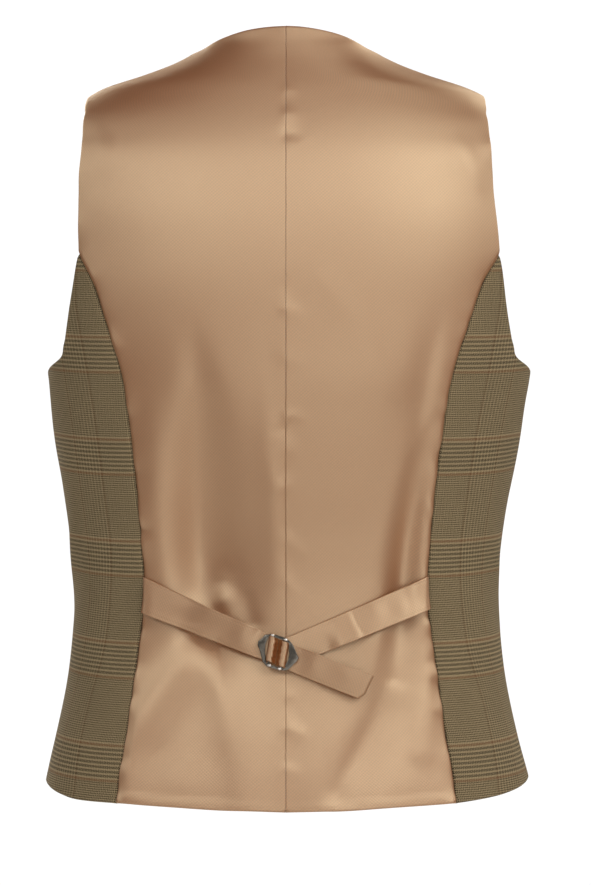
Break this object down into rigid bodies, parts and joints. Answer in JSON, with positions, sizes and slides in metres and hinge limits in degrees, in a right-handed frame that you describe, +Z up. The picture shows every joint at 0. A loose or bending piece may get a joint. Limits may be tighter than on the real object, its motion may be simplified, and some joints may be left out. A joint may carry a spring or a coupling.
{
  "type": "suit waistcoat",
  "caption": "Suit waistcoat worn and hollow: checked wool fronts lapped at the centre, satin back with a cinch strap and buckle, open neck, armholes and hem.",
  "frame": {"origin": "midway between the shoulder seams, on the line from shoulder to shoulder where the wearer carries the cloth", "axes": "+Z up, towards the wearer's head; +Y towards the back; +X towards the wearer's left"},
  "size_m": [0.3537, 0.2481, 0.5719],
  "materials": {
    "satin": "bronze satin, glossy along the thread",
    "wool": "brown glen check wool, matt",
    "gunmetal": "dark polished plating",
    "horn": "dark brown horn"
  },
  "bodies": {
    "root": {"back_left": "satin", "back_right": "satin", "front_left": "wool", "front_right": "wool", "strap_left": "satin", "strap_right": "satin", "buckle": "gunmetal", "button_1": "horn", "button_2": "horn", "button_3": "horn", "button_4": "horn", "button_5": "horn"}
  },
  "joints": []
}
